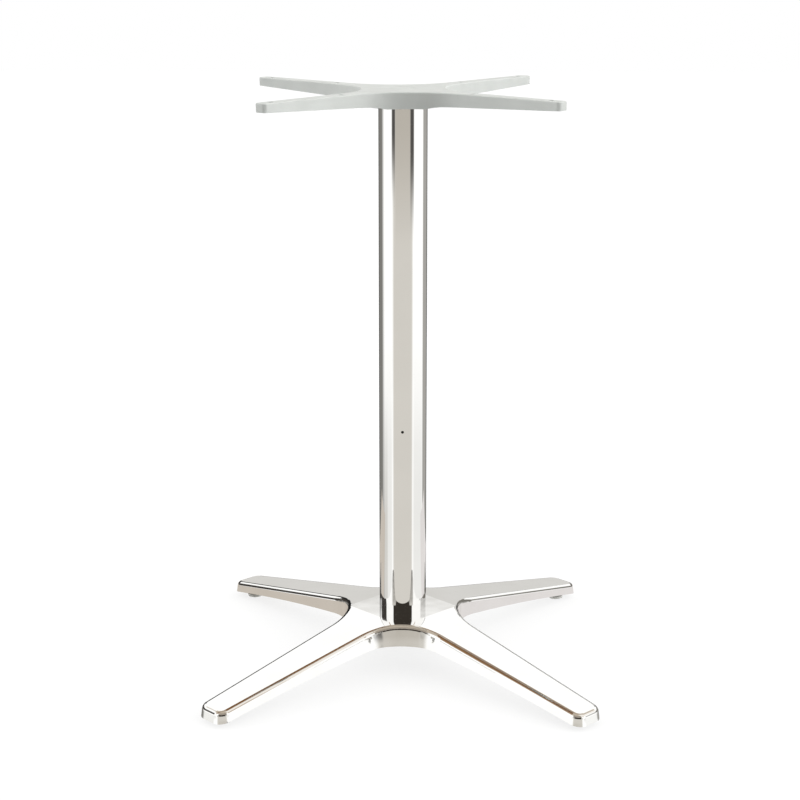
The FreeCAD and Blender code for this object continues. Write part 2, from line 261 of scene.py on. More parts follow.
class Effects:
    """The surface effects that several finishes share, each a node group built once."""

    def __init__(self) -> None:
        """Builds the groups."""
        self.patches = self.build_patches()
        self.streaks = self.build_streaks()
        self.specks = self.build_specks()

    @staticmethod
    def open_group(
        name: str, inputs: dict[str, float], output: str
    ) -> tuple[NodeSheet, bpy.types.Node, bpy.types.Node]:
        """A group with a place input, some numbers and one output.

        Args:
            name: the group's name
            inputs: its number inputs with their defaults
            output: its output's name

        Returns:
            the sheet, the node with its inputs and the node with its output
        """
        tree = bpy.data.node_groups.new(name, "ShaderNodeTree")
        tree.interface.new_socket("Place", in_out="INPUT", socket_type="NodeSocketVector")
        for label, value in inputs.items():
            socket = tree.interface.new_socket(label, in_out="INPUT", socket_type="NodeSocketFloat")
            socket.default_value = value
        tree.interface.new_socket(output, in_out="OUTPUT", socket_type="NodeSocketFloat")
        sheet = NodeSheet(tree)
        return sheet, sheet.add("NodeGroupInput"), sheet.add("NodeGroupOutput")

    def build_patches(self) -> bpy.types.NodeTree:
        """Cloudy patches between two values, as handling and uneven finishing leave.

        Returns:
            the group
        """
        inputs = {"Scale": 30.0, "Low": 0.0, "High": 1.0}
        sheet, given, made = self.open_group("cloudy_patches", inputs, "Value")
        cloud = sheet.noise(given.outputs["Place"], given.outputs["Scale"], detail=4.0, rough=0.55)
        value = sheet.rise(cloud, 0.3, 0.7, given.outputs["Low"], given.outputs["High"])
        sheet.feed(made.inputs["Value"], value)
        return sheet.tree

    def build_streaks(self) -> bpy.types.NodeTree:
        """Fine hairlines that cross each other, as buffing leaves.

        Returns:
            the group
        """
        sheet, given, made = self.open_group("buffing_hairlines", {"Scale": 900.0, "Amount": 1.0}, "Mask")
        lengthwise = sheet.stretched(given.outputs["Place"], (1.0, 0.06, 0.3))
        crosswise = sheet.stretched(given.outputs["Place"], (0.08, 1.0, 0.4))
        along = sheet.noise(lengthwise, given.outputs["Scale"])
        across = sheet.noise(crosswise, given.outputs["Scale"])
        lines = sheet.work(Sum.LARGEST, sheet.rise(along, 0.62, 0.75), sheet.rise(across, 0.64, 0.78))
        sheet.feed(made.inputs["Mask"], sheet.work(Sum.MULTIPLY, lines, given.outputs["Amount"]))
        return sheet.tree

    def build_specks(self) -> bpy.types.NodeTree:
        """Sparse small round specks, as dust and pinholes leave.

        Returns:
            the group
        """
        sheet, given, made = self.open_group("sparse_specks", {"Scale": 250.0, "Share": 0.12}, "Mask")
        cells = sheet.add("ShaderNodeTexVoronoi")
        sheet.feed(cells.inputs["Vector"], given.outputs["Place"])
        sheet.feed(cells.inputs["Scale"], given.outputs["Scale"])
        dot = sheet.rise(cells.outputs["Distance"], 0.1, 0.22, 1.0, 0.0)
        split = sheet.add("ShaderNodeSeparateColor")
        sheet.feed(split.inputs[0], cells.outputs["Color"])
        chosen = sheet.work(Sum.ABOVE, given.outputs["Share"], split.outputs[0])
        sheet.feed(made.inputs["Mask"], sheet.work(Sum.MULTIPLY, dot, chosen))
        return sheet.tree

    @staticmethod
    def placed(sheet: NodeSheet, group: bpy.types.NodeTree, place: Feed, **values: float) -> Socket:
        """One of the groups, placed in a material.

        Args:
            sheet: the material's sheet
            group: the group
            place: the coordinates it follows
            values: its numbers by name, in lower case

        Returns:
            the socket that gives its result
        """
        node = sheet.add("ShaderNodeGroup")
        node.node_tree = group
        sheet.feed(node.inputs["Place"], place)
        for name, value in values.items():
            node.inputs[name.capitalize()].default_value = value
        return node.outputs[0]


@dataclass(frozen=True)
class Finish:
    """What every finish has.

    Attributes:
        slot: the record's slot
        light: the surface's lighter colour
        dark: its darker colour
        smoothest: the roughness of its smoothest patches
        roughest: the roughness of its dullest patches
    """

    slot: Slot
    light: Colour
    dark: Colour
    smoothest: float
    roughest: float

    def opened(self) -> tuple[bpy.types.Material, NodeSheet, bpy.types.Node, Socket]:
        """A material to fill in.

        Returns:
            the material, its sheet, its surface shader and its coordinates
        """
        material = bpy.data.materials.new(self.slot.value)
        material.use_nodes = True
        sheet = NodeSheet(material.node_tree)
        surface = material.node_tree.nodes["Principled BSDF"]
        place = sheet.add("ShaderNodeTexCoord").outputs["Object"]
        return material, sheet, surface, place

    def tinted(self, sheet: NodeSheet, effects: Effects, place: Feed, scale: float) -> Socket:
        """The colour, clouded between light and dark.

        Args:
            sheet: the material's sheet
            effects: the shared effects
            place: the coordinates
            scale: clouds to a metre

        Returns:
            the socket that gives the colour
        """
        cloud = effects.placed(sheet, effects.patches, place, scale=scale, low=0.0, high=1.0)
        return sheet.blend(cloud, rgba(self.light), rgba(self.dark))

    def hazed(self, sheet: NodeSheet, effects: Effects, place: Feed, scale: float) -> Socket:
        """The roughness, clouded between the smoothest and the dullest.

        Args:
            sheet: the material's sheet
            effects: the shared effects
            place: the coordinates
            scale: clouds to a metre

        Returns:
            the socket that gives the roughness
        """
        return effects.placed(
            sheet, effects.patches, place, scale=scale, low=self.smoothest, high=self.roughest
        )


@dataclass(frozen=True)
class PolishedAluminium(Finish):
    """A hand-polished casting: a mirror with slow waves, a little haze and hairlines, left as cast inside.

    Attributes:
        wave_depth: metres of the slow waves that polishing leaves
        line_depth: metres of the hairlines
        cast: the colour of the skin that the mould leaves inside
        cast_dulls: how much rougher that skin is
        cast_depth: metres of its grain
        lean: the upward lean between an inside wall and an outside one
    """

    wave_depth: float = 0.12 * MM
    line_depth: float = 0.01 * MM
    cast: Colour = (0.56, 0.56, 0.55)
    cast_dulls: float = 0.42
    cast_depth: float = 0.15 * MM
    lean: Span = (0.02, 0.07)

    def material(self, effects: Effects) -> bpy.types.Material:
        """The finish as a material.

        Args:
            effects: the shared effects

        Returns:
            the material
        """
        material, sheet, surface, place = self.opened()
        inside = self.inside(sheet)
        polished = self.tinted(sheet, effects, place, scale=22.0)
        sheet.feed(surface.inputs["Base Color"], sheet.blend(inside, polished, rgba(self.cast)))
        surface.inputs["Metallic"].default_value = 1.0
        haze = self.hazed(sheet, effects, place, scale=35.0)
        lines = effects.placed(sheet, effects.streaks, place, scale=700.0, amount=0.05)
        buffed = sheet.work(Sum.ADD, haze, lines)
        dulled = sheet.work(Sum.MULTIPLY, inside, self.cast_dulls)
        sheet.feed(surface.inputs["Roughness"], sheet.work(Sum.ADD, buffed, dulled))
        swell = sheet.noise(place, scale=28.0, detail=1.0, rough=0.4)
        waves = sheet.bump(swell, strength=1.0, depth=self.wave_depth)
        marks = sheet.bump(lines, strength=0.25, depth=self.line_depth, onto=waves)
        grain = sheet.work(Sum.MULTIPLY, inside, sheet.noise(place, scale=420.0, detail=4.0, rough=0.6))
        relief = sheet.bump(grain, strength=0.6, depth=self.cast_depth, onto=marks)
        sheet.feed(surface.inputs["Normal"], relief)
        return material

    def inside(self, sheet: NodeSheet) -> Socket:
        """The hollow under the casting: every wall but the outer ones, which lean back as the mould draws.

        Args:
            sheet: the material's sheet

        Returns:
            the socket that gives one inside and none outside
        """
        facing = sheet.add("ShaderNodeSeparateXYZ")
        sheet.feed(facing.inputs[0], sheet.add("ShaderNodeNewGeometry").outputs["True Normal"])
        return sheet.rise(facing.outputs[2], *self.lean, start=1.0, end=0.0)


@dataclass(frozen=True)
class ChromedSteel(Finish):
    """Bright chrome on drawn tube: a clear mirror with faint lengthwise draw lines.

    Attributes:
        draw_depth: metres of the draw lines
        dust_dulls: how much rougher a speck of dust is
    """

    draw_depth: float = 0.02 * MM
    dust_dulls: float = 0.12

    def material(self, effects: Effects) -> bpy.types.Material:
        """The finish as a material.

        Args:
            effects: the shared effects

        Returns:
            the material
        """
        material, sheet, surface, place = self.opened()
        sheet.feed(surface.inputs["Base Color"], self.tinted(sheet, effects, place, scale=12.0))
        surface.inputs["Metallic"].default_value = 1.0
        haze = self.hazed(sheet, effects, place, scale=18.0)
        dust = effects.placed(sheet, effects.specks, place, scale=320.0, share=0.06)
        dulled = sheet.work(Sum.MULTIPLY, dust, self.dust_dulls)
        sheet.feed(surface.inputs["Roughness"], sheet.work(Sum.ADD, haze, dulled))
        drawn = sheet.noise(sheet.stretched(place, (1.0, 1.0, 0.015)), scale=260.0)
        sheet.feed(surface.inputs["Normal"], sheet.bump(drawn, strength=0.15, depth=self.draw_depth))
        return material


@dataclass(frozen=True)
class GreyPaint(Finish):
    """Satin stoved paint over a casting, with a fine orange-peel skin.

    Attributes:
        peel_depth: metres of the orange peel
        grit_shows: how much of the darker colour a speck of grit has
    """

    peel_depth: float = 0.05 * MM
    grit_shows: float = 0.25

    def material(self, effects: Effects) -> bpy.types.Material:
        """The finish as a material.

        Args:
            effects: the shared effects

        Returns:
            the material
        """
        material, sheet, surface, place = self.opened()
        body = self.tinted(sheet, effects, place, scale=26.0)
        grit = effects.placed(sheet, effects.specks, place, scale=420.0, share=0.1)
        faded = sheet.work(Sum.MULTIPLY, grit, self.grit_shows)
        sheet.feed(surface.inputs["Base Color"], sheet.blend(faded, body, rgba(self.dark)))
        sheen = self.hazed(sheet, effects, place, scale=60.0)
        sheet.feed(surface.inputs["Roughness"], sheen)
        peel = sheet.noise(place, scale=520.0)
        sheet.feed(surface.inputs["Normal"], sheet.bump(peel, strength=0.35, depth=self.peel_depth))
        return material


@dataclass(frozen=True)
class ZincSteel(Finish):
    """Bright zinc plate on turned steel, with cloudy passivation.

    Attributes:
        turn_depth: metres of the turning marks
    """

    turn_depth: float = 0.02 * MM

    def material(self, effects: Effects) -> bpy.types.Material:
        """The finish as a material.

        Args:
            effects: the shared effects

        Returns:
            the material
        """
        material, sheet, surface, place = self.opened()
        sheet.feed(surface.inputs["Base Color"], self.tinted(sheet, effects, place, scale=140.0))
        surface.inputs["Metallic"].default_value = 1.0
        haze = self.hazed(sheet, effects, place, scale=220.0)
        sheet.feed(surface.inputs["Roughness"], haze)
        turned = sheet.noise(sheet.stretched(place, (0.2, 0.2, 1.0)), scale=2200.0)
        sheet.feed(surface.inputs["Normal"], sheet.bump(turned, strength=0.25, depth=self.turn_depth))
        return material


@dataclass(frozen=True)
class PaleNylon(Finish):
    """Moulded nylon with a faint spark-eroded grain.

    Attributes:
        grain_depth: metres of the grain
    """

    grain_depth: float = 0.05 * MM

    def material(self, effects: Effects) -> bpy.types.Material:
        """The finish as a material.

        Args:
            effects: the shared effects

        Returns:
            the material
        """
        material, sheet, surface, place = self.opened()
        sheet.feed(surface.inputs["Base Color"], self.tinted(sheet, effects, place, scale=90.0))
        sheen = self.hazed(sheet, effects, place, scale=150.0)
        sheet.feed(surface.inputs["Roughness"], sheen)
        grain = sheet.noise(place, scale=1800.0, rough=0.6)
        sheet.feed(surface.inputs["Normal"], sheet.bump(grain, strength=0.3, depth=self.grain_depth))
        return material


class Palette:
    """The finishes as materials, each made once."""

    def __init__(self, finishes: tuple[Finish, ...]) -> None:
        """Makes the materials.

        Args:
            finishes: one finish for each slot
        """
        effects = Effects()
        self.materials = {finish.slot: finish.material(effects) for finish in finishes}

    def of(self, slot: Slot) -> bpy.types.Material:
        """The material of a slot."""
        return self.materials[slot]

    def wear(self, node: str, slot: Slot) -> None:
        """Gives one node of the frame its finish.

        Args:
            node: the node's name
            slot: the finish's slot
        """
        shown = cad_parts[node]
        if shown.material_slots:
            for place in shown.material_slots:
                place.material = self.of(slot)
        else:
            shown.data.materials.append(self.of(slot))
        log.info("%s wears %s", node, slot.value)


@dataclass(frozen=True)
class Thread:
    """A coarse screw thread.

    Attributes:
        crest: the radius of its ridge
        root: the radius of its groove
        pitch: the height of one turn
        chamfer: how far an end tapers
        steps: faces to a turn
    """

    crest: float
    root: float
    pitch: float
    chamfer: float
    steps: int = 20

    def ridge(self, height: float) -> list[tuple[float, float]]:
        """The outline of one turn, from groove to groove.

        Args:
            height: where the turn begins

        Returns:
            its points, each a radius and a height
        """
        turn = (
            (self.root, 0.0),
            (self.root, 0.12),
            (self.crest, 0.44),
            (self.crest, 0.56),
            (self.root, 0.88),
            (self.root, 1.0),
        )
        return [(radius, height + share * self.pitch) for radius, share in turn]


@dataclass
class Piece:
    """A piece that is turned about the upright axis and then set in its place.

    Attributes:
        name: the piece's name
        body: the body that it moves with
        slot: its finish's slot
        stands_for: the node that it replaces, if any
        crisp: the angle between faces, in degrees, from which an edge stays sharp
        bm: its mesh
    """

    name: str
    body: str
    slot: Slot
    stands_for: str = ""
    crisp: float = 28.0
    bm: bmesh.types.BMesh = field(default_factory=bmesh.new)

    def turn(self, outline: list[tuple[float, float]], ring: bool = False, steps: int = 48) -> None:
        """Turns an outline once round the axis.

        Args:
            outline: its points, each a radius and a height
            ring: whether the last point joins the first, as round a bore
            steps: faces round the axis
        """
        verts = [self.bm.verts.new((radius, 0.0, height)) for radius, height in outline]
        after = verts[1:] + verts[:1] if ring else verts[1:]
        edges = [self.bm.edges.new(pair) for pair in zip(verts, after)]
        bmesh.ops.spin(
            self.bm, geom=verts + edges, cent=(0.0, 0.0, 0.0), axis=(0.0, 0.0, 1.0),
            angle=math.tau, steps=steps, use_merge=True,
        )
        self.merge()

    def wind(self, thread: Thread, low: float, high: float, tapers: tuple[bool, bool]) -> None:
        """Winds a length of thread, the first thing on the piece.

        Args:
            thread: its form
            low: where it begins
            high: where it ends
            tapers: whether the lower and the upper end taper
        """
        turns = math.ceil((high - low) / thread.pitch) + SPARE_TURNS
        outline = thread.ridge(low - SPARE_TURNS / 2 * thread.pitch)
        verts = [self.bm.verts.new((radius, 0.0, height)) for radius, height in outline]
        edges = [self.bm.edges.new(pair) for pair in zip(verts, verts[1:])]
        bmesh.ops.spin(
            self.bm, geom=verts + edges, cent=(0.0, 0.0, 0.0), axis=(0.0, 0.0, 1.0),
            dvec=(0.0, 0.0, thread.pitch / thread.steps), angle=math.tau * turns, steps=thread.steps * turns,
        )
        self.merge()
        self.slice((0.0, 0.0, low), (0.0, 0.0, -1.0))
        self.slice((0.0, 0.0, high), (0.0, 0.0, 1.0))
        self.close()
        for vert in self.bm.verts:
            depths = [depth for depth, tapered in zip((vert.co.z - low, high - vert.co.z), tapers) if tapered]
            most = thread.crest - thread.chamfer + min((thread.chamfer, *depths))
            reach = math.hypot(vert.co.x, vert.co.y)
            if reach > most:
                vert.co.x *= most / reach
                vert.co.y *= most / reach

    def merge(self) -> None:
        """Joins the points that lie on each other."""
        bmesh.ops.remove_doubles(self.bm, verts=self.bm.verts, dist=MERGE_WITHIN)

    def slice(self, at: Point, facing: Point) -> None:
        """Cuts off what lies in front of a plane.

        Args:
            at: a point of the plane
            facing: the way towards what is cut off
        """
        everything = self.bm.verts[:] + self.bm.edges[:] + self.bm.faces[:]
        bmesh.ops.bisect_plane(self.bm, geom=everything, plane_co=at, plane_no=facing, clear_outer=True)

    def close(self) -> None:
        """Closes the open cuts."""
        rim = [edge for edge in self.bm.edges if edge.is_boundary]
        bmesh.ops.holes_fill(self.bm, edges=rim, sides=0)

    def cut_flats(self, across: float) -> None:
        """Cuts the six flats of a hexagon on a turned blank.

        Args:
            across: the size across the flats
        """
        for side in range(6):
            angle = math.radians(60.0 * side + 30.0)
            facing = (math.cos(angle), math.sin(angle), 0.0)
            self.slice((facing[0] * across / 2, facing[1] * across / 2, 0.0), facing)
            self.close()

    def settle(self, palette: Palette, at: tuple[float, float] = (0.0, 0.0), turned: float = 0.0) -> None:
        """Finishes the mesh, sets it in its place and lets it ride on its body.

        Args:
            palette: the materials
            at: where the axis stands
            turned: the turn about the axis
        """
        place = Matrix.Translation((*at, 0.0)) @ Matrix.Rotation(turned, 4, "Z")
        bmesh.ops.transform(self.bm, matrix=place, verts=self.bm.verts)
        bmesh.ops.recalc_face_normals(self.bm, faces=self.bm.faces)
        for face in self.bm.faces:
            face.smooth = True
        mesh = bpy.data.meshes.new(self.name)
        self.bm.to_mesh(mesh)
        self.bm.free()
        mesh.set_sharp_from_angle(angle=math.radians(self.crisp))
        mesh.materials.append(palette.of(self.slot))
        shown = bpy.data.objects.new(self.name, mesh)
        bpy.context.scene.collection.objects.link(shown)
        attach(shown, self.body)
        if self.stands_for:
            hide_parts(self.stands_for)
        log.info("%s is made with %d faces, in %s", self.name, len(mesh.polygons), self.slot.value)


HEXAGON_BLUNTING = 0.985
HEXAGON_FACE = 0.475
HEXAGON_CHAMFER_DEG = 30.0


def hexagon_blank(across: float, low: float, high: float) -> list[tuple[float, float]]:
    """The turned rim of a hexagon whose slightly blunt corners are chamfered at both faces.

    Args:
        across: the size across its flats
        low: its lower face
        high: its upper face

    Returns:
        the rim's points from its lower to its upper face, each a radius and a height
    """
    corner = HEXAGON_BLUNTING * across / math.sqrt(3.0)
    face = HEXAGON_FACE * across
    chamfer = (corner - face) * math.tan(math.radians(HEXAGON_CHAMFER_DEG))
    return [(face, low), (corner, low + chamfer), (corner, high - chamfer), (face, high)]


@dataclass
class FootStar:
    """The polished casting on the floor."""

    node: str = "star_base"

    def dress(self, palette: Palette) -> None:
        """Gives the casting its polish."""
        palette.wear(self.node, Slot.POLISHED_ALUMINIUM)


@dataclass
class Column:
    """The chromed tube."""

    node: str = "column_tube"

    def dress(self, palette: Palette) -> None:
        """Gives the tube its chrome."""
        palette.wear(self.node, Slot.CHROMED_STEEL)


@dataclass
class TopSpider:
    """The painted cross that carries the table top, with the cap in the recess of its hub."""

    node: str = "top_spider"
    cap_radius: float = 14.9 * MM
    cap_thickness: float = 1.0 * MM
    cap_depth: float = 7.5 * MM
    cap_rim: float = 0.6 * MM

    def dress(self, palette: Palette) -> None:
        """Gives the cross its paint and its cap."""
        palette.wear(self.node, Slot.GREY_PAINT)
        self.build_cap(palette)

    def build_cap(self, palette: Palette) -> None:
        """Presses the cap into the recess, level with the hub's top.

        Args:
            palette: the materials
        """
        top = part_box(self.node)[1][2]
        inside = self.cap_radius - self.cap_thickness
        cap = Piece("recess_cap", "stand", Slot.GREY_PAINT)
        cap.turn([
            (0.0, top - self.cap_thickness),
            (inside, top - self.cap_thickness),
            (inside, top - self.cap_depth),
            (self.cap_radius, top - self.cap_depth),
            (self.cap_radius, top - self.cap_rim),
            (self.cap_radius - ROUNDED_MIDDLE * self.cap_rim, top - ROUNDED_MIDDLE * self.cap_rim),
            (self.cap_radius - self.cap_rim, top),
            (0.0, top),
        ], steps=64)
        cap.settle(palette)


@dataclass
class TieRod:
    """The rod that holds the castings on the column, with its washers and nuts."""

    node: str = "tie_rod"
    washers: tuple[str, ...] = ("lower_wide_washer", "lower_spring_washer", "upper_washer")
    nuts: tuple[str, ...] = ("lower_nut", "upper_nut")
    thread: Thread = Thread(crest=5.0 * MM, root=4.1 * MM, pitch=1.5 * MM, chamfer=1.0 * MM)
    thread_length: float = 42.0 * MM
    shank_radius: float = 4.55 * MM
    overlap: float = 1.0 * MM
    nut_across: float = 17.0 * MM
    nut_bore: float = 5.05 * MM
    nut_lead: float = 0.5 * MM

    def dress(self, palette: Palette) -> None:
        """Makes the rod and its nuts, and plates the washers.

        Args:
            palette: the materials
        """
        for washer in self.washers:
            palette.wear(washer, Slot.ZINC_STEEL)
        for nut in self.nuts:
            self.build_nut(nut, palette)
        self.build_rod(palette)

    def build_rod(self, palette: Palette) -> None:
        """Makes the plain shank and its two threaded ends.

        Args:
            palette: the materials
        """
        low, high = (corner[2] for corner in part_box(self.node))
        below = low + self.thread_length
        above = high - self.thread_length
        shank = Piece("tie_rod_shank", "stand", Slot.ZINC_STEEL, self.node)
        shank.turn([
            (0.0, below - self.overlap),
            (self.shank_radius, below - self.overlap),
            (self.shank_radius, above + self.overlap),
            (0.0, above + self.overlap),
        ])
        shank.settle(palette)
        for side, start, end in (("lower", low, below), ("upper", above, high)):
            cut = Piece(f"tie_rod_{side}_thread", "stand", Slot.ZINC_STEEL)
            cut.wind(self.thread, start, end, (True, True))
            cut.settle(palette)

    def build_nut(self, node: str, palette: Palette) -> None:
        """Makes one hexagon nut with chamfered corners and a countersunk bore.

        Args:
            node: the node that it stands for
            palette: the materials
        """
        low, high = (corner[2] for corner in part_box(node))
        nut = Piece(f"{node}_turned", "stand", Slot.ZINC_STEEL, node)
        nut.turn([
            (self.nut_bore + self.nut_lead, low),
            *hexagon_blank(self.nut_across, low, high),
            (self.nut_bore + self.nut_lead, high),
            (self.nut_bore, high - self.nut_lead),
            (self.nut_bore, low + self.nut_lead),
        ], ring=True)
        nut.cut_flats(self.nut_across)
        nut.settle(palette)


@dataclass
class LevellingFoot:
    """One levelling foot: a threaded stem with a hexagon collar, and its pad.

    Attributes:
        corner: the arm end that it stands under
        seat: the collar's upper face
        collar_low: the collar's lower face
    """

    corner: Corner
    thread: Thread = Thread(crest=4.0 * MM, root=3.35 * MM, pitch=1.25 * MM, chamfer=0.8 * MM)
    seat: float = 6.0 * MM
    collar_low: float = 3.5 * MM
    collar_across: float = 13.0 * MM
    pin_radius: float = 3.5 * MM
    pin_chamfer: float = 0.3 * MM
    overlap: float = 0.6 * MM

    def dress(self, palette: Palette) -> None:
        """Makes the stem and gives the pad its nylon."""
        palette.wear(f"foot_pad_{self.corner.value}", Slot.PALE_NYLON)
        self.build_stem(palette)

    def build_stem(self, palette: Palette) -> None:
        """Makes the stem, with one corner of its collar along the arm.

        Args:
            palette: the materials
        """
        node = f"foot_stem_{self.corner.value}"
        least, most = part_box(node)
        at = ((least[0] + most[0]) / 2, (least[1] + most[1]) / 2)
        stem = Piece(f"{node}_threaded", f"foot_{self.corner.value}", Slot.ZINC_STEEL, node)
        stem.wind(self.thread, self.seat - self.overlap, most[2], (False, True))
        stem.turn([
            (0.0, least[2]),
            (self.pin_radius - self.pin_chamfer, least[2]),
            (self.pin_radius, least[2] + self.pin_chamfer),
            (self.pin_radius, self.collar_low),
            *hexagon_blank(self.collar_across, self.collar_low, self.seat),
            (0.0, self.seat),
        ])
        stem.cut_flats(self.collar_across)
        stem.settle(palette, at, math.atan2(at[1], at[0]))


class Side(Enum):
    """Where a panel of the light tent stands, seen from the camera."""

    BOTH = "both"
    LEFT = "left"
    RIGHT = "right"


@dataclass(frozen=True)
class Hoop:
    """A narrow hoop across the light tent, round the line of an arm.

    Attributes:
        along: the line that it goes round
        reach: how far along the line it stands, on a tent one unit wide
        half: half its width
        fade: how wide its edges fade
    """

    along: Point
    reach: float
    half: float = 0.07
    fade: float = 0.02

    def share(self, sheet: NodeSheet, look: Feed) -> Socket:
        """One on the hoop, none beside it.

        Args:
            sheet: the surround's sheet
            look: the direction

        Returns:
            the socket that gives the share
        """
        node = sheet.add("ShaderNodeVectorMath")
        node.operation = "DOT_PRODUCT"
        sheet.feed(node.inputs[0], look)
        sheet.feed(node.inputs[1], self.along)
        return sheet.between(node.outputs["Value"], self.reach - self.half, self.reach + self.half, self.fade)


LEFT_ARM_HOOP = Hoop((-0.723, -0.667, -0.181), -0.493)
RIGHT_ARM_HOOP = Hoop((0.720, -0.673, -0.167), -0.512)


@dataclass(frozen=True)
class Panel:
    """One panel of the light tent that bright metal mirrors, measured in degrees.

    Attributes:
        light: its light
        side: the side it stands on
        off: where it begins and ends, round from the camera
        up: where it begins and ends, above the horizon
        fade_off: how wide its upright edges fade
        fade_up: how wide its level edges fade
        hoop: the hoop that it is a stretch of, if any
    """

    light: Colour
    side: Side
    off: Span
    up: Span
    fade_off: float = 4.0
    fade_up: float = 2.0
    hoop: Hoop | None = None

    def over(self, sheet: NodeSheet, below: Feed, look: Feed, compass: Feed, height: Feed) -> Socket:
        """The panel, laid over what stands behind it.

        Args:
            sheet: the surround's sheet
            below: the light behind the panel
            look: the direction
            compass: degrees round from the camera, to the right
            height: degrees above the horizon

        Returns:
            the socket that gives the light
        """
        if self.side is Side.BOTH:
            round_to = sheet.work(Sum.SIZE_OF, compass)
        elif self.side is Side.LEFT:
            round_to = sheet.work(Sum.MULTIPLY, compass, -1.0)
        else:
            round_to = compass
        across = sheet.between(round_to, *self.off, self.fade_off)
        upright = sheet.between(height, *self.up, self.fade_up)
        share = sheet.work(Sum.MULTIPLY, across, upright)
        if self.hoop:
            share = sheet.work(Sum.MULTIPLY, share, self.hoop.share(sheet, look))
        return sheet.blend(share, below, rgba(self.light))


@dataclass
class StudioSurround:
    """The light tent round the table base.

    Attributes:
        backdrop: what the camera sees behind the table base
        softbox: the white that bright metal mirrors where no panel stands
        panels: what stands before it, each laid over those before
        tent_right, tent_left, tent_front, tent_back, tent_below, tent_top: the soft light on dull surfaces
        sides_fade, front_fade, back_fade, below_fade, top_fade: where each of these gives way to the next
        front_lean: how far the dim front leans to the left
    """

    backdrop: Colour = WHITE
    softbox: Colour = (1.14, 1.14, 1.13)
    panels: tuple[Panel, ...] = (
        Panel((0.54, 0.465, 0.375), Side.BOTH, (-20.0, 200.0), (43.0, 120.0), fade_up=4.0),
        Panel((0.36, 0.315, 0.265), Side.BOTH, (-20.0, 47.0), (26.0, 62.0), fade_up=4.0),
        Panel((0.95, 0.91, 0.85), Side.RIGHT, (58.0, 114.0), (30.0, 77.0), 14.0, 6.0),
        Panel((0.24, 0.12, 0.05), Side.RIGHT, (114.0, 200.0), (54.0, 77.0), 14.0, 8.0, LEFT_ARM_HOOP),
        Panel((0.18, 0.09, 0.04), Side.LEFT, (160.0, 200.0), (39.0, 64.0), 6.0, 4.0, LEFT_ARM_HOOP),
        Panel((0.18, 0.09, 0.04), Side.LEFT, (160.0, 200.0), (39.0, 64.0), 6.0, 4.0, RIGHT_ARM_HOOP),
        Panel((0.17, 0.088, 0.042), Side.LEFT, (84.0, 160.0), (52.0, 77.0), 8.0, 8.0, RIGHT_ARM_HOOP),
        Panel((0.30, 0.175, 0.085), Side.LEFT, (73.5, 101.0), (23.8, 56.0), 2.0, 2.0, RIGHT_ARM_HOOP),
        Panel((0.30, 0.175, 0.085), Side.LEFT, (60.0, 73.5), (38.0, 58.0), 2.0, 4.0, RIGHT_ARM_HOOP),
        Panel((0.50, 0.40, 0.30), Side.RIGHT, (60.0, 70.5), (23.8, 52.0), 2.0, 2.0, LEFT_ARM_HOOP),
        Panel((0.04, 0.034, 0.028), Side.BOTH, (-20.0, 47.0), (0.0, 26.0)),
        Panel((0.62, 0.60, 0.56), Side.BOTH, (35.0, 52.0), (0.0, 15.0), fade_off=3.0),
        Panel((0.69, 0.665, 0.615), Side.BOTH, (-20.0, 47.0), (-120.0, 0.0), fade_off=12.0),
        Panel((0.52, 0.485, 0.43), Side.BOTH, (-20.0, 35.0), (-8.5, 0.0), fade_off=6.0, fade_up=5.0),
        Panel((0.09, 0.085, 0.08), Side.LEFT, (36.5, 53.0), (-7.8, 0.0), fade_off=6.0, fade_up=2.5),
        Panel((0.09, 0.085, 0.08), Side.RIGHT, (35.5, 54.0), (-8.6, 0.0), fade_off=6.0, fade_up=3.0),
        Panel((0.90, 0.90, 0.88), Side.BOTH, (54.0, 108.0), (-40.0, -15.0), fade_off=8.0, fade_up=6.0),
        Panel((0.70, 0.69, 0.66), Side.LEFT, (80.0, 108.0), (-40.0, -16.5), fade_off=8.0, fade_up=5.0),
        Panel((0.05, 0.045, 0.04), Side.LEFT, (88.0, 130.0), (0.0, 24.0)),
        Panel((0.05, 0.045, 0.04), Side.LEFT, (130.0, 158.0), (0.0, 21.0)),
        Panel((0.40, 0.385, 0.36), Side.RIGHT, (89.0, 101.0), (0.0, 16.0)),
        Panel((0.20, 0.19, 0.17), Side.RIGHT, (101.0, 158.0), (0.0, 21.0)),
        Panel((0.70, 0.69, 0.665), Side.BOTH, (158.0, 200.0), (0.0, 21.2), fade_up=2.0),
        Panel((0.22, 0.215, 0.20), Side.LEFT, (108.0, 200.0), (-120.0, 0.0), fade_off=26.0),
        Panel((0.40, 0.39, 0.37), Side.RIGHT, (112.0, 200.0), (-120.0, 0.0), fade_off=8.0),
        Panel((0.03, 0.03, 0.03), Side.BOTH, (156.0, 200.0), (-120.0, 0.0), fade_off=10.0),
        Panel((0.02, 0.02, 0.02), Side.LEFT, (155.0, 169.2), (-60.0, 30.5), fade_off=1.4),
        Panel((0.04, 0.04, 0.04), Side.RIGHT, (155.0, 169.6), (-60.0, 8.5), fade_off=1.4),
        Panel((0.04, 0.04, 0.04), Side.RIGHT, (155.0, 169.6), (23.0, 30.5), fade_off=1.4),
    )
    tent_right: Colour = (3.30, 3.30, 3.28)
    tent_left: Colour = (3.45, 3.45, 3.43)
    tent_front: Colour = (0.02, 0.02, 0.02)
    tent_back: Colour = (1.00, 1.00, 0.99)
    tent_below: Colour = (0.45, 0.45, 0.44)
    tent_top: Colour = (0.60, 0.60, 0.59)
    sides_fade: Span = (-0.25, 0.25)
    front_lean: float = 0.16
    front_fade: Span = (-0.85, -0.31)
    back_fade: Span = (0.2, 0.6)
    below_fade: Span = (-0.3, 0.0)
    top_fade: Span = (0.45, 0.95)

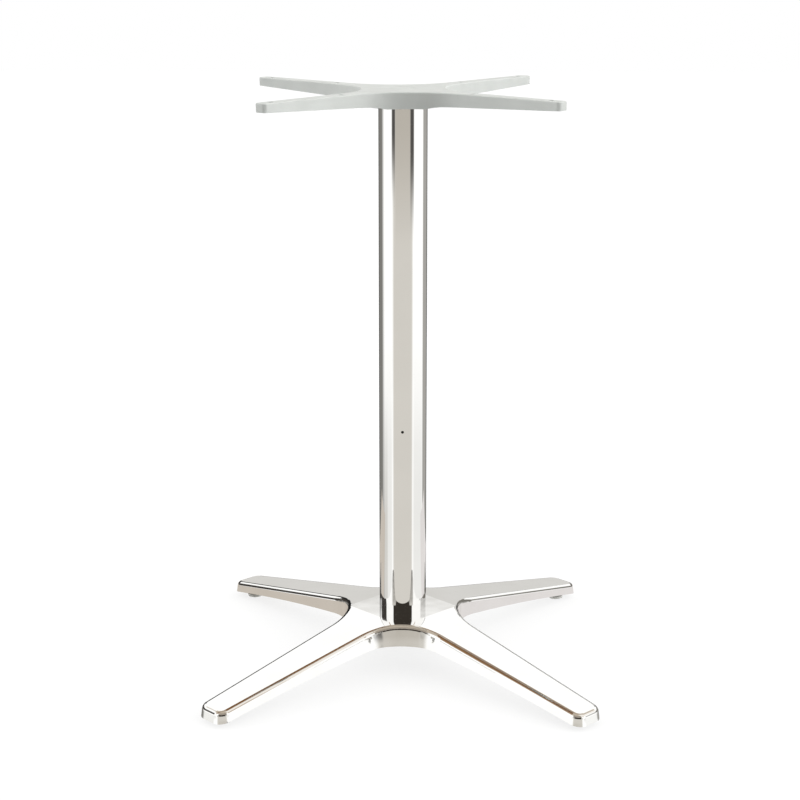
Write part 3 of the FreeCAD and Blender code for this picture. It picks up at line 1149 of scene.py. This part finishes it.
    def build(self) -> None:
        """Lays out the surround."""
        world = bpy.data.worlds.new("studio_surround")
        world.use_nodes = True
        bpy.context.scene.world = world
        sheet = NodeSheet(world.node_tree)
        out = world.node_tree.nodes["World Output"]
        look = sheet.add("ShaderNodeTexCoord").outputs["Generated"]
        axes = sheet.add("ShaderNodeSeparateXYZ")
        sheet.feed(axes.inputs[0], look)
        path = sheet.add("ShaderNodeLightPath")
        soft = self.tent(sheet, axes)
        bright = self.mirrored(sheet, look, axes)
        seen = sheet.blend(path.outputs["Is Glossy Ray"], soft, bright)
        seen = sheet.blend(path.outputs["Is Camera Ray"], seen, rgba(self.backdrop))
        glow = world.node_tree.nodes["Background"]
        sheet.feed(glow.inputs["Color"], seen)
        sheet.feed(out.inputs["Surface"], glow.outputs[0])

    def mirrored(self, sheet: NodeSheet, look: Feed, axes: bpy.types.Node) -> Socket:
        """What the bright metal sees: a white softbox all round, with the panels in front of it.

        Args:
            sheet: the surround's sheet
            look: the direction
            axes: the node that gives the direction's three parts

        Returns:
            the socket that gives the light
        """
        towards = sheet.work(Sum.MULTIPLY, axes.outputs[1], -1.0)
        compass = sheet.work(Sum.DEGREES, sheet.work(Sum.ARC_TANGENT, axes.outputs[0], towards))
        height = sheet.work(Sum.DEGREES, sheet.work(Sum.ARC_SINE, axes.outputs[2]))
        light: Feed = rgba(self.softbox)
        for panel in self.panels:
            light = panel.over(sheet, light, look, compass, height)
        return light

    def tent(self, sheet: NodeSheet, axes: bpy.types.Node) -> Socket:
        """The soft light on dull surfaces: brightest from the sides, dimmest from the front.

        Args:
            sheet: the surround's sheet
            axes: the node that gives the direction's three parts

        Returns:
            the socket that gives the light
        """
        across, towards, upward = axes.outputs
        lean = sheet.work(Sum.MULTIPLY, across, self.front_lean)
        right = sheet.rise(across, *self.sides_fade)
        front = sheet.rise(sheet.work(Sum.ADD, towards, lean), *self.front_fade, start=1.0, end=0.0)
        back = sheet.rise(towards, *self.back_fade)
        below = sheet.rise(upward, *self.below_fade, start=1.0, end=0.0)
        above = sheet.rise(upward, *self.top_fade)
        light = sheet.blend(right, rgba(self.tent_left), rgba(self.tent_right))
        light = sheet.blend(front, light, rgba(self.tent_front))
        light = sheet.blend(back, light, rgba(self.tent_back))
        light = sheet.blend(below, light, rgba(self.tent_below))
        return sheet.blend(above, light, rgba(self.tent_top))


def lit_sheet(
    name: str, across: Span, deep: Span, height: float, colour: Colour, light: Colour
) -> bpy.types.Object:
    """A level sheet in the studio that gives light and mirrors nothing.

    Args:
        name: what it is
        across: where it begins and ends, from left to right
        deep: where it begins and ends, from front to back
        height: how high it lies
        colour: its own colour
        light: its light

    Returns:
        the sheet
    """
    material = bpy.data.materials.new(name)
    material.use_nodes = True
    surface = material.node_tree.nodes["Principled BSDF"]
    surface.inputs["Base Color"].default_value = rgba(colour)
    surface.inputs["Roughness"].default_value = 1.0
    surface.inputs["Specular IOR Level"].default_value = 0.0
    surface.inputs["Emission Color"].default_value = rgba(light)
    surface.inputs["Emission Strength"].default_value = 1.0
    corners = ((across[0], deep[0]), (across[1], deep[0]), (across[1], deep[1]), (across[0], deep[1]))
    bm = bmesh.new()
    bm.faces.new([bm.verts.new((*corner, height)) for corner in corners])
    mesh = bpy.data.meshes.new(name)
    bm.to_mesh(mesh)
    bm.free()
    mesh.materials.append(material)
    shown = bpy.data.objects.new(name, mesh)
    bpy.context.scene.collection.objects.link(shown)
    return shown


@dataclass(frozen=True)
class Card:
    """A glowing card on the studio floor that only bright metal sees: a painted reflection of the floor's
    shade beside the arms.

    Attributes:
        name: what it is
        light: its glow, the painted shade of the mirrored floor
        across: where it begins and ends, from left to right
        deep: where it begins and ends, from front to back
        height: how high it lies
    """

    name: str
    light: Colour
    across: Span
    deep: Span = (0.06, 0.42)
    height: float = 0.5 * MM

    def build(self) -> None:
        """Lays the card on the floor."""
        card = lit_sheet(self.name, self.across, self.deep, self.height, BLACK, self.light)
        card.visible_camera = False
        card.visible_diffuse = False
        card.visible_shadow = False
        card.visible_transmission = False


@dataclass
class Studio:
    """Everything round the table base, in metres and degrees.

    Attributes:
        camera_at, camera_tilt, camera_turn: where the camera stands and looks
        lens, sensor: its focal length and the width of its picture, in millimetres
        clip_end: how far it sees
        lamp_energy, lamp_spread, lamp_turn: the soft lamp's strength, breadth and turn
        floor_span, floor_colour, floor_light: the floor's reach each way, its colour and its light
        cards: glowing cards that the arms mirror of the floor, a painted reflection of its shade
        surround: the light tent
    """

    camera_at: Point = (0.0359, -2.2874, 0.9459)
    camera_tilt: float = 75.2605
    camera_turn: float = 0.99
    lens: float = 84.087
    sensor: float = 36.0
    clip_end: float = 50.0
    lamp_energy: float = 0.4
    lamp_spread: float = 60.0
    lamp_turn: tuple[float, float, float] = (20.0, 35.0, 0.0)
    floor_span: Span = (-9.0, 9.0)
    floor_colour: Colour = (0.20, 0.20, 0.20)
    floor_light: Colour = (0.80, 0.80, 0.80)
    # Glowing cards seen only in the metal: painted reflections of the shaded floor, beige on the left.
    cards: tuple[Card, ...] = (
        Card("floor_card_left", (0.61, 0.555, 0.49), (-0.62, -0.15)),
        Card("floor_card_right", (0.80, 0.77, 0.76), (0.15, 0.62)),
    )
    surround: StudioSurround = field(default_factory=StudioSurround)

    def build(self) -> None:
        """Sets up everything that isn't the table base."""
        self.surround.build()
        self.build_floor()
        for card in self.cards:
            card.build()
        self.build_lamp()
        self.build_camera()
        bpy.context.scene.view_settings.view_transform = "Standard"

    def build_floor(self) -> None:
        """Lays the floor, which can be seen through from below."""
        floor = lit_sheet(
            "studio_floor", self.floor_span, self.floor_span, 0.0, self.floor_colour, self.floor_light
        )
        sheet = NodeSheet(floor.active_material.node_tree)
        surface = sheet.tree.nodes["Principled BSDF"]
        below = sheet.add("ShaderNodeNewGeometry").outputs["Backfacing"]
        sheet.feed(surface.inputs["Alpha"], sheet.work(Sum.SUBTRACT, 1.0, below))
        floor.visible_glossy = False
        floor.visible_diffuse = False

    def build_lamp(self) -> None:
        """Hangs a broad soft lamp over the right shoulder."""
        data = bpy.data.lights.new("soft_key", "SUN")
        data.energy = self.lamp_energy
        data.angle = math.radians(self.lamp_spread)
        lamp = bpy.data.objects.new("soft_key", data)
        lamp.rotation_euler = tuple(math.radians(angle) for angle in self.lamp_turn)
        lamp.visible_glossy = False
        bpy.context.scene.collection.objects.link(lamp)

    def build_camera(self) -> None:
        """Stands the camera where the picture was taken from."""
        data = bpy.data.cameras.new("studio_camera")
        data.sensor_width = self.sensor
        data.lens = self.lens
        data.clip_end = self.clip_end
        camera = bpy.data.objects.new("studio_camera", data)
        camera.location = self.camera_at
        camera.rotation_euler = (math.radians(self.camera_tilt), 0.0, math.radians(self.camera_turn))
        bpy.context.scene.collection.objects.link(camera)
        bpy.context.scene.camera = camera


def main() -> None:
    """Dresses the table base and sets up the studio."""
    logging.basicConfig(level=logging.INFO, format="%(message)s")
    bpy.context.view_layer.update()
    palette = Palette((
        PolishedAluminium(Slot.POLISHED_ALUMINIUM, (0.93, 0.925, 0.915), (0.89, 0.885, 0.87), 0.03, 0.07),
        ChromedSteel(Slot.CHROMED_STEEL, (0.93, 0.925, 0.915), (0.90, 0.895, 0.885), 0.02, 0.045),
        GreyPaint(Slot.GREY_PAINT, (0.60, 0.62, 0.60), (0.56, 0.58, 0.56), 0.32, 0.42),
        ZincSteel(Slot.ZINC_STEEL, (0.72, 0.73, 0.75), (0.62, 0.63, 0.63), 0.22, 0.36),
        PaleNylon(Slot.PALE_NYLON, (0.72, 0.72, 0.69), (0.66, 0.66, 0.63), 0.42, 0.55),
    ))
    feet = [LevellingFoot(corner) for corner in Corner]
    for assembly in (FootStar(), Column(), TopSpider(), TieRod(), *feet):
        assembly.dress(palette)
    Studio().build()


if __name__ == "__main__":
    main()
